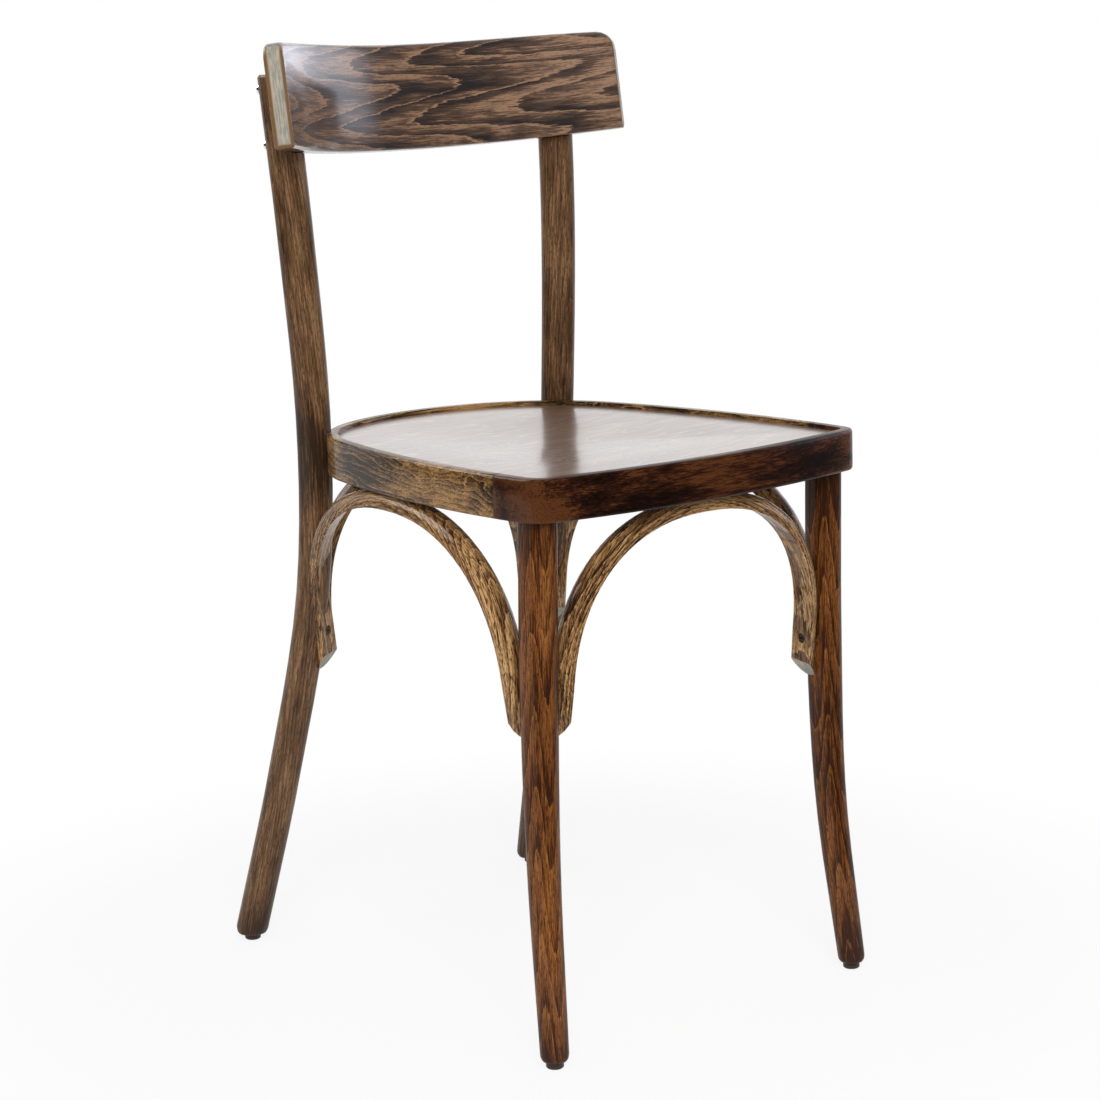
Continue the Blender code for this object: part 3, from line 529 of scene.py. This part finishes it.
def cut_wood(context, name, rim_stain=None, flat=None):
    """Pale end grain with grey streaks, where a piece is cut off, and a stained rim about its flat."""
    colours = context.scene.chair_colours
    material, t, shader = new_material(name)
    grain = t.node("ShaderNodeAttribute", attribute_name="grain").outputs["Vector"]
    streaks = t.noise(t.vector("MULTIPLY", grain, CUT_STREAK_SCALE), detail=3.0, roughness=0.6)
    patches = t.uneven(grain, CUT_PATCH_SCALE, 0.8, detail=2.0, roughness=0.5)
    share = t.smooth(t.math("ADD", streaks, patches), 0.30, 0.70)
    colour = t.mix(share, rgba(colours.cut_pale), rgba(colours.cut_grey))
    if flat:
        parts = t.node("ShaderNodeSeparateXYZ")
        t.feed(parts.inputs[0], grain)
        low, high, front, back = flat
        inside = t.math("MINIMUM", t.math("SUBTRACT", parts.outputs["X"], low),
                        t.math("SUBTRACT", high, parts.outputs["X"]))
        inside = t.math("MINIMUM", inside, t.math("SUBTRACT", parts.outputs["Y"], front))
        inside = t.math("MINIMUM", inside, t.math("SUBTRACT", back, parts.outputs["Y"]))
        inside = t.math("ADD", inside, t.math("MULTIPLY", patches, 0.0015))
        rim = rgba(getattr(colours, rim_stain))
        colour = t.mix(t.smooth(inside, -0.0006, 0.0012), rim, colour)
    t.feed(shader.inputs["Base Color"], colour)
    t.feed(shader.inputs["Roughness"], t.smooth(share, 0.0, 1.0, 0.45, 0.6))
    bump = t.node("ShaderNodeBump")
    bump.inputs["Strength"].default_value = 0.4
    bump.inputs["Distance"].default_value = 0.0001
    t.feed(bump.inputs["Height"], streaks)
    t.feed(shader.inputs["Normal"], bump.outputs["Normal"])
    return material


def place_on_piece(t):
    """The three coordinates of a point in the chair's own frame."""
    parts = t.node("ShaderNodeSeparateXYZ")
    t.feed(parts.inputs[0], t.node("ShaderNodeTexCoord").outputs["Object"])
    return parts.outputs


def paler_corners(t):
    """The front rail lets more brown through where it rounds the corners."""
    return t.smooth(t.math("ABSOLUTE", place_on_piece(t)["X"]), 0.135, 0.160, 0.03, -0.26)


def darker_joints(t):
    """The hoop is stained darker beside its joints with the front rail."""
    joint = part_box("seat_front_rail")[1][1]
    return t.smooth(place_on_piece(t)["Y"], joint, joint + 0.012, 0.3, 0.0)


def darker_feet_and_shade_under_seat(t):
    """Legs and posts are darker at the foot, and darker up under the seat by painted shade."""
    height = place_on_piece(t)["Z"]
    foot = t.smooth(height, 0.0, 0.05, 0.35, 0.0)
    # Painted shade where the seat shades the tops of the legs and posts
    painted_shade_under_seat = t.smooth(height, 0.38, 0.43, 0.0, 0.35)
    below_rim = t.smooth(height, 0.46, 0.50, 1.0, 0.0)
    return t.math("MAXIMUM", foot, t.math("MULTIPLY", painted_shade_under_seat, below_rim))


def plain_finish(name, colour, rough, metallic=0.0, scale=900.0, speckle=0.12):
    """Metal or plastic with a fine uneven surface."""
    material, t, shader = new_material(name)
    place = t.node("ShaderNodeTexCoord").outputs["Object"]
    speckles = t.noise(t.vector("MULTIPLY", place, (scale, scale, scale)), detail=3.0)
    darker = tuple(channel * (1 - speckle * 2) for channel in colour)
    t.feed(shader.inputs["Base Color"], t.mix(t.smooth(speckles, 0.35, 0.65), rgba(darker), rgba(colour)))
    t.feed(shader.inputs["Roughness"], t.smooth(speckles, 0.3, 0.7, rough, rough * (1 + speckle)))
    shader.inputs["Metallic"].default_value = metallic
    bump = t.node("ShaderNodeBump")
    bump.inputs["Strength"].default_value = 0.2
    bump.inputs["Distance"].default_value = 0.00005
    t.feed(bump.inputs["Height"], speckles)
    t.feed(shader.inputs["Normal"], bump.outputs["Normal"])
    return material


# Pieces

class CHAIR_OT_seat_frame(Operator):
    """Finish the front rail, dark from its stain and from painted shade, and the paler hoop behind it"""

    bl_idname = "side_chair.seat_frame"
    bl_label = "Seat frame"

    def execute(self, context):
        finish = context.scene.chair_finish
        edge = finish.edge_frame
        rail = finer_piece(context, "seat_front_rail", edge)
        store_grain(rail, rail_grain, seed=3)
        wood = stained_wood(context, "Front rail wood", "rail", finish.gloss_bars, finish.blur_frame,
                            swing=0.10, fade=0.1, line=0.1, fibres=2.0, blotches=2.2, streaks=1.4,
                            uneven_stain_and_shade=paler_corners)
        set_material(rail, wood)
        hoop = finer_piece(context, "seat_hoop", edge)
        store_grain(hoop, hoop_grain, seed=5)
        wood = stained_wood(context, "Hoop wood", "hoop", finish.gloss_frame, finish.blur_frame,
                            spacing=0.07, swing=0.45, period=0.20, wander=0.45, line=0.5, fade=0.3,
                            blotches=2.0, uneven_stain_and_shade=darker_joints)
        set_material(hoop, wood)
        return {"FINISHED"}


class CHAIR_OT_seat_panel(Operator):
    """Finish the dished panel with its glossy lacquer"""

    bl_idname = "side_chair.seat_panel"
    bl_label = "Seat panel"

    def execute(self, context):
        finish = context.scene.chair_finish
        panel = finer_piece(context, "seat_panel")
        store_grain(panel, panel_grain, seed=7)
        wood = stained_wood(context, "Seat panel wood", "panel", finish.gloss_panel, finish.blur_panel,
                            sheen=0.5, depth=0.25, spacing=0.08, swing=0.12, period=0.18, wander=0.30,
                            line=0.3, fade=0.1, fibres=0.8, streaks=0.6, specks=0.1)
        set_material(panel, wood)
        return {"FINISHED"}


class CHAIR_OT_legs(Operator):
    """Finish the two front legs and the two rear posts"""

    bl_idname = "side_chair.legs"
    bl_label = "Legs and posts"

    def execute(self, context):
        finish = context.scene.chair_finish
        # A lit and a shaded copy of the leg wood: the right leg's copy is darker by painted shade
        leg_woods_lit_and_shaded = [stained_wood(context, "Leg wood, " + label, "leg", finish.gloss_bars, finish.blur_bars,
                                  spacing=0.060, swing=0.035, period=0.022, ragged=0.02, line=0.25, fade=0.3,
                                  fibres=1.7, streaks=0.8, specks=0.7, uneven_stain_and_shade=darker_feet_and_shade_under_seat, bias=bias)
                     for (label, _), bias in zip(SIDES, LEG_STAIN_AND_SHADE)]
        post_wood = stained_wood(context, "Post wood", "post", finish.gloss_bars, finish.blur_bars,
                                 line=0.1, fade=0.2, fibres=1.4, specks=0.6, uneven_stain_and_shade=darker_feet_and_shade_under_seat)
        for seed, (label, side) in enumerate(SIDES):
            leg = finer_piece(context, "front_leg_" + label)
            store_grain(leg, bar_grain(FRONT_LEG_LINE, side, FLAT_FACE_TURN), seed=11 + seed)
            set_material(leg, leg_woods_lit_and_shaded[seed])
            post = finer_piece(context, "rear_post_" + label)
            store_grain(post, bar_grain(REAR_POST_LINE, side, FLAT_FACE_TURN), seed=17 + seed)
            set_material(post, post_wood)
        return {"FINISHED"}


class CHAIR_OT_back_board(Operator):
    """Finish the bent back board, with pale end grain at both ends"""

    bl_idname = "side_chair.back_board"
    bl_label = "Back board"

    def execute(self, context):
        finish = context.scene.chair_finish
        board = finer_piece(context, "back_board")
        wood = stained_wood(context, "Board wood", "board", finish.gloss_board, finish.blur_board,
                            sheen=0.5, spacing=0.084, swing=-0.0756, period=0.0524, lean=-0.055, shift=1.84,
                            wander=0.14, ragged=0.045, line=0.5, fade=0.4, fibres=1.5, streaks=1.3,
                            blotches=1.5, specks=0.5)
        set_material(board, wood, cut_wood(context, "Board end grain", "hoop_brown", BOARD_END))
        for face in board.data.polygons:
            turn = board_grain(face.center).z / (BOARD_RADIUS + BOARD_THICKNESS / 2)
            along = Vector((math.cos(turn), -math.sin(turn), 0))
            if abs(face.normal.dot(along)) > END_SLOPE:
                face.material_index = 1
        store_grain(board, board_grain, seed=0)
        return {"FINISHED"}


class CHAIR_OT_braces(Operator):
    """Finish the four arched braces, with pale sloping cuts at their feet"""

    bl_idname = "side_chair.braces"
    bl_label = "Braces"

    def execute(self, context):
        finish = context.scene.chair_finish
        wood = stained_wood(context, "Brace wood", "brace", finish.gloss_frame, finish.blur_braces,
                            line=0.3, fade=0.35, fibres=1.8, specks=0.9)
        cut = cut_wood(context, "Brace end grain")
        for seed, label in enumerate(("front", "rear", "left", "right")):
            brace = finer_piece(context, label + "_brace", finish.edge_bars)
            kind = "front" if label in ("front", "rear") else "side"
            set_material(brace, wood, cut)
            for face in brace.data.polygons:
                if face.center.z < CUT_HEIGHT and face.normal.z < CUT_SLOPE and face.area > CUT_AREA:
                    face.material_index = 1
            store_grain(brace, arch_grain(kind), seed=31 + seed)
        return {"FINISHED"}


class CHAIR_OT_fasteners(Operator):
    """Finish the screws, bolts, washers, nails and dowels"""

    bl_idname = "side_chair.fasteners"
    bl_label = "Fasteners"

    def execute(self, context):
        colours = context.scene.chair_colours
        chrome = plain_finish("Chrome", colours.chrome, rough=0.16, metallic=1.0, speckle=0.04)
        steel = plain_finish("Dark steel", colours.dark_steel, rough=0.42, metallic=1.0)
        beech = plain_finish("Raw beech", colours.raw_beech, rough=0.65, scale=500.0)
        for name, node in frame["nodes"].items():
            if name.startswith("board_screw_"):
                piece = finer_piece(context, name)
                set_material(piece, chrome)
            elif "screw" in name or "bolt" in name or "washer" in name or "nail" in name:
                node.data.materials.clear()
                node.data.materials.append(steel)
            elif "dowel" in name:
                node.data.materials.clear()
                node.data.materials.append(beech)
        return {"FINISHED"}


class CHAIR_OT_glides(Operator):
    """Finish the hard glides under the four feet"""

    bl_idname = "side_chair.glides"
    bl_label = "Glides"

    def execute(self, context):
        plastic = plain_finish("Glide plastic", context.scene.chair_colours.glide, rough=0.45)
        for end in ("front", "rear"):
            for label, _ in SIDES:
                glide = finer_piece(context, "glide_" + end + "_" + label, 0.0004)
                set_material(glide, plastic)
        return {"FINISHED"}


# Stage

# Where light comes from: the camera's side, and the high window behind that the lacquer mirrors
FRONT_LEFT = Vector((-0.63, -0.77, 0.0))
WINDOW = Vector((-0.35, 0.62, 0.70)).normalized()

# How far from the chair's middle its shadow shows on the floor
SHADOW_REACH = 0.75


def studio_world(context):
    """White to the camera, soft light for the wood, and gloss from behind, the right and a high window."""
    stage = context.scene.chair_stage
    world = bpy.data.worlds.new("White studio")
    context.scene.world = world
    world.use_nodes = True
    t = Tree(world.node_tree)
    background = world.node_tree.nodes["Background"]
    direction = t.node("ShaderNodeTexCoord").outputs["Generated"]
    parts = t.node("ShaderNodeSeparateXYZ")
    t.feed(parts.inputs[0], direction)
    behind = t.smooth(t.dot(direction, FRONT_LEFT), -0.36, -0.60, stage.gloss_front, stage.gloss_back)
    above = t.smooth(parts.outputs["Z"], 0.60, 0.95, 0.0, 0.4)
    window = t.smooth(t.dot(direction, WINDOW), 0.88, 0.95, 0.0, stage.gloss_window)
    right = t.math("MULTIPLY", t.smooth(parts.outputs["X"], 0.76, 0.90, 0.0, stage.gloss_right),
                   t.smooth(parts.outputs["Z"], -0.04, 0.08))
    gloss = t.math("MAXIMUM", t.math("MAXIMUM", behind, above), t.math("MAXIMUM", window, right))
    soft = t.smooth(t.dot(direction, FRONT_LEFT), -0.5, 0.85, stage.sky_back, stage.sky_front)
    path = t.node("ShaderNodeLightPath").outputs
    mirrored = t.math("MULTIPLY", gloss, path["Is Glossy Ray"])
    lit = t.math("MULTIPLY", soft, t.math("SUBTRACT", 1.0, path["Is Glossy Ray"]))
    cool = t.math("MULTIPLY", right, path["Is Glossy Ray"])
    tint = t.mix(t.math("MINIMUM", cool, 1.0), (1.0, 1.0, 1.0, 1.0), rgba(stage.cool))
    t.feed(background.inputs["Color"], tint)
    strength = t.math("MAXIMUM", t.math("ADD", mirrored, lit), path["Is Camera Ray"])
    t.feed(background.inputs["Strength"], strength)


def floor_material():
    """Pale floor that is white to the camera but for the chair's soft shadow."""
    material, t, shader = new_material("White floor")
    shader.inputs["Base Color"].default_value = (0.92, 0.92, 0.92, 1.0)
    shader.inputs["Roughness"].default_value = 0.9
    white = t.node("ShaderNodeEmission")
    white.inputs["Strength"].default_value = 1.0
    path = t.node("ShaderNodeLightPath")
    seen = t.math("MAXIMUM", path.outputs["Is Camera Ray"], path.outputs["Is Glossy Ray"])
    seen = t.math("MAXIMUM", seen, path.outputs["Is Transmission Ray"])
    distance = t.node("ShaderNodeVectorMath", operation="LENGTH")
    t.feed(distance.inputs[0], t.node("ShaderNodeTexCoord").outputs["Object"])
    share = t.smooth(distance.outputs["Value"], SHADOW_REACH / 2, SHADOW_REACH, 0.86, 1.0)
    mix = t.node("ShaderNodeMixShader")
    t.feed(mix.inputs[0], t.math("MULTIPLY", seen, share))
    t.feed(mix.inputs[1], shader.outputs[0])
    t.feed(mix.inputs[2], white.outputs[0])
    output = material.node_tree.nodes["Material Output"]
    t.feed(output.inputs["Surface"], mix.outputs[0])
    return material


def add_lamp(name, place, target, size, power):
    bpy.ops.object.light_add(type="AREA", location=place)
    lamp = bpy.context.view_layer.objects.active
    lamp.name = name
    lamp.data.shape = "SQUARE"
    lamp.data.size = size
    lamp.data.energy = power
    lamp.visible_glossy = False
    lamp.rotation_euler = (Vector(target) - Vector(place)).to_track_quat("-Z", "Y").to_euler()
    return lamp


class CHAIR_OT_stage(Operator):
    """Make the floor, the white studio, two soft lamps and the camera"""

    bl_idname = "side_chair.stage"
    bl_label = "Stage"

    def execute(self, context):
        stage = context.scene.chair_stage
        deselect()
        bpy.ops.mesh.primitive_plane_add(size=1, location=(0, 0, 0))
        floor = context.view_layer.objects.active
        floor.data.transform(Matrix.Translation((0, 2.2, 0)) @ Matrix.Diagonal((6.0, 5.6, 1, 1)))
        floor.name = "floor"
        floor.data.materials.append(floor_material())
        studio_world(context)
        add_lamp("key_lamp", (-1.6, -2.2, 2.0), (0, 0, 0.4), 1.6, stage.key_power)
        add_lamp("fill_lamp", (2.2, 1.2, 2.0), (0, 0, 0.4), 1.8, stage.fill_power)
        self.add_camera(context, stage)
        context.scene.view_settings.view_transform = "Standard"
        return {"FINISHED"}

    def add_camera(self, context, stage):
        back = Vector((math.sin(stage.azimuth) * math.cos(stage.elevation),
                       -math.cos(stage.azimuth) * math.cos(stage.elevation),
                       math.sin(stage.elevation)))
        right = Vector((math.cos(stage.azimuth), math.sin(stage.azimuth), 0))
        up = back.cross(right)
        rolled_right = math.cos(stage.roll) * right + math.sin(stage.roll) * up
        rolled_up = math.cos(stage.roll) * up - math.sin(stage.roll) * right
        bpy.ops.object.camera_add(location=stage.camera_place)
        camera = context.view_layer.objects.active
        camera.name = "camera"
        camera.rotation_euler = Matrix((rolled_right, rolled_up, back)).transposed().to_euler()
        camera.data.sensor_width = 36
        camera.data.lens = stage.lens
        context.scene.camera = camera


class CHAIR_PT_sidebar(Panel):
    """Lists the chair's pieces and settings"""

    bl_idname = "CHAIR_PT_sidebar"
    bl_label = "Side chair"
    bl_space_type = "VIEW_3D"
    bl_region_type = "UI"
    bl_category = "Side chair"

    def draw(self, context):
        for operator in PIECE_OPERATORS:
            self.layout.operator(operator.bl_idname)
        for settings in (context.scene.chair_colours, context.scene.chair_finish, context.scene.chair_stage):
            box = self.layout.box()
            for name in settings.__annotations__:
                box.prop(settings, name)


PIECE_OPERATORS = (
    CHAIR_OT_seat_frame,
    CHAIR_OT_seat_panel,
    CHAIR_OT_legs,
    CHAIR_OT_back_board,
    CHAIR_OT_braces,
    CHAIR_OT_fasteners,
    CHAIR_OT_glides,
    CHAIR_OT_stage,
)
SETTINGS = (
    ("chair_colours", ChairColours),
    ("chair_finish", ChairFinish),
    ("chair_stage", ChairStage),
)


def register():
    for name, group in SETTINGS:
        bpy.utils.register_class(group)
        setattr(bpy.types.Scene, name, PointerProperty(type=group))
    for operator in PIECE_OPERATORS:
        bpy.utils.register_class(operator)
    bpy.utils.register_class(CHAIR_PT_sidebar)


def unregister():
    bpy.utils.unregister_class(CHAIR_PT_sidebar)
    for operator in reversed(PIECE_OPERATORS):
        bpy.utils.unregister_class(operator)
    for name, group in reversed(SETTINGS):
        delattr(bpy.types.Scene, name)
        bpy.utils.unregister_class(group)


def main():
    register()
    bpy.ops.side_chair.seat_frame()
    bpy.ops.side_chair.seat_panel()
    bpy.ops.side_chair.legs()
    bpy.ops.side_chair.back_board()
    bpy.ops.side_chair.braces()
    bpy.ops.side_chair.fasteners()
    bpy.ops.side_chair.glides()
    bpy.ops.side_chair.stage()


if __name__ == "__main__":
    main()
